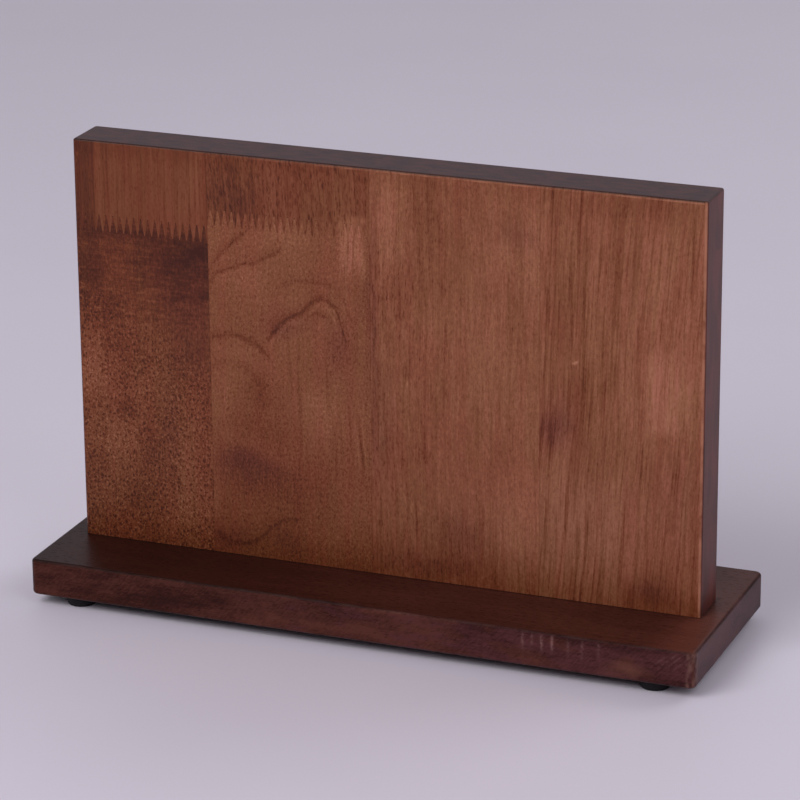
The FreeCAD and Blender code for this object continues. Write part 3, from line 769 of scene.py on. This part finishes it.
def magnets():
    """Dark sintered ferrite."""
    g = Graph("magnet_ferrite")
    grit = g.noise(g.point, (3.0, 3.0, 3.0), detail=4.0, roughness=0.7)
    colour = g.mix(grit, (0.018, 0.018, 0.020), (0.060, 0.058, 0.060))
    g.finish(colour, g.plus(0.55, g.times(grit, 0.3)), grit, 0.05)
    dress([name for name in NODES if name.endswith("_magnets")], g)


# ---------------------------------------------------------------- floor, light and camera

# Lengths here are in metres, and angles in degrees.
FLOOR_HALF = 6.0
STAND_MIDDLE = (0, 0, 0.1)

# The world's strength on the camera's side and behind the stand
FRONT_GLOW = 0.20
REAR_GLOW = 0.52
WORLD_COLOUR = (0.95, 0.92, 1.0)

# The camera's direction from its aim, and its lens in mm
CAMERA_AIM = (0.0041, 0.0, 0.1192)
CAMERA_AZIMUTH = 21.64
CAMERA_ELEVATION = 19.18
CAMERA_ROLL = -0.46
CAMERA_DISTANCE = 2.0427
CAMERA_LENS = 175.6
CAMERA_SENSOR = 36


def make_floor():
    """A plain pale floor."""
    mesh = bpy.data.meshes.new("floor")
    half = FLOOR_HALF
    corners = [(-half, -half, 0), (half, -half, 0), (half, half, 0), (-half, half, 0)]
    mesh.from_pydata(corners, [], [(0, 1, 2, 3)])
    floor = bpy.data.objects.new("floor", mesh)
    bpy.context.scene.collection.objects.link(floor)
    g = Graph("floor_pale")
    cloud = g.noise(g.point, (0.004, 0.004, 0.004), detail=3.0)
    colour = g.mix(cloud, (0.66, 0.62, 0.71), (0.72, 0.68, 0.77))
    g.feed(colour, g.shader.inputs["Base Color"])
    g.shader.inputs["Roughness"].default_value = 0.5
    g.shader.inputs["Specular IOR Level"].default_value = 0.3
    mesh.materials.append(g.material)


def make_light(name, place, aim, size, watts, colour):
    """A soft square lamp at a place, turned to face the aim."""
    lamp = bpy.data.lights.new(name, "AREA")
    lamp.size = size
    lamp.energy = watts
    lamp.color = colour
    holder = bpy.data.objects.new(name, lamp)
    holder.location = place
    direction = Vector(aim) - Vector(place)
    holder.rotation_euler = direction.to_track_quat("-Z", "Y").to_euler()
    bpy.context.scene.collection.objects.link(holder)


def make_world():
    """Pale light from all round, brighter from behind the stand than from the camera's side."""
    world = bpy.data.worlds.new("studio")
    world.use_nodes = True
    nodes, links = world.node_tree.nodes, world.node_tree.links
    direction = nodes.new("ShaderNodeTexCoord").outputs["Generated"]
    parts = nodes.new("ShaderNodeSeparateXYZ")
    strength = nodes.new("ShaderNodeMapRange")
    for socket, number in zip(strength.inputs, (0.0, -0.6, 0.6, FRONT_GLOW, REAR_GLOW)):
        socket.default_value = number
    links.new(direction, parts.inputs[0])
    links.new(parts.outputs["Y"], strength.inputs[0])
    background = nodes["Background"]
    background.inputs["Color"].default_value = (*WORLD_COLOUR, 1)
    links.new(strength.outputs[0], background.inputs["Strength"])
    bpy.context.scene.world = world


def make_camera():
    """A camera that looks at the stand from the front right, a little above."""
    azimuth = math.radians(CAMERA_AZIMUTH)
    elevation = math.radians(CAMERA_ELEVATION)
    roll = math.radians(CAMERA_ROLL)
    away = Vector((math.sin(azimuth) * math.cos(elevation),
                   -math.cos(azimuth) * math.cos(elevation),
                   math.sin(elevation)))
    right = Vector((0, 0, 1)).cross(away).normalized()
    up = away.cross(right)
    turned_right = math.cos(roll) * right + math.sin(roll) * up
    turned_up = -math.sin(roll) * right + math.cos(roll) * up
    turn = Matrix((turned_right, turned_up, away)).transposed().to_4x4()
    camera = bpy.data.cameras.new("camera")
    camera.lens = CAMERA_LENS
    camera.sensor_width = CAMERA_SENSOR
    camera.clip_start = 0.05
    camera.clip_end = 50
    holder = bpy.data.objects.new("camera", camera)
    holder.matrix_world = Matrix.Translation(Vector(CAMERA_AIM) + CAMERA_DISTANCE * away) @ turn
    bpy.context.scene.collection.objects.link(holder)
    bpy.context.scene.camera = holder


front_stave_1_upper()
front_stave_1_lower()
front_stave_2_upper()
front_stave_2_lower()
front_stave_3()
front_stave_4()
rear_staves()
base_stave("base_front_stave", 20.0)
base_stave("base_rear_stave", 24.0)
dowels()
feet()
steel("washer_zinc", [name for name in NODES if name.startswith("foot_washer")], ZINC)
steel("screw_zinc", [name for name in NODES if "screw" in name], YELLOW_ZINC)
steel("keeper_zinc", [name for name in NODES if name.endswith("_keeper")], ZINC)
magnets()

make_floor()
make_world()
make_light("key", (-0.9, -1.8, 1.9), STAND_MIDDLE, 1.6, 42, (1.0, 0.97, 0.98))
make_light("fill", (1.6, -1.0, 1.2), STAND_MIDDLE, 1.4, 7, (0.95, 0.95, 1.0))
make_light("back", (1.3, 1.6, 1.7), (0.7, 1.0, 0), 1.2, 11, (1.0, 0.98, 0.98))
make_camera()
bpy.context.scene.view_settings.view_transform = "Standard"
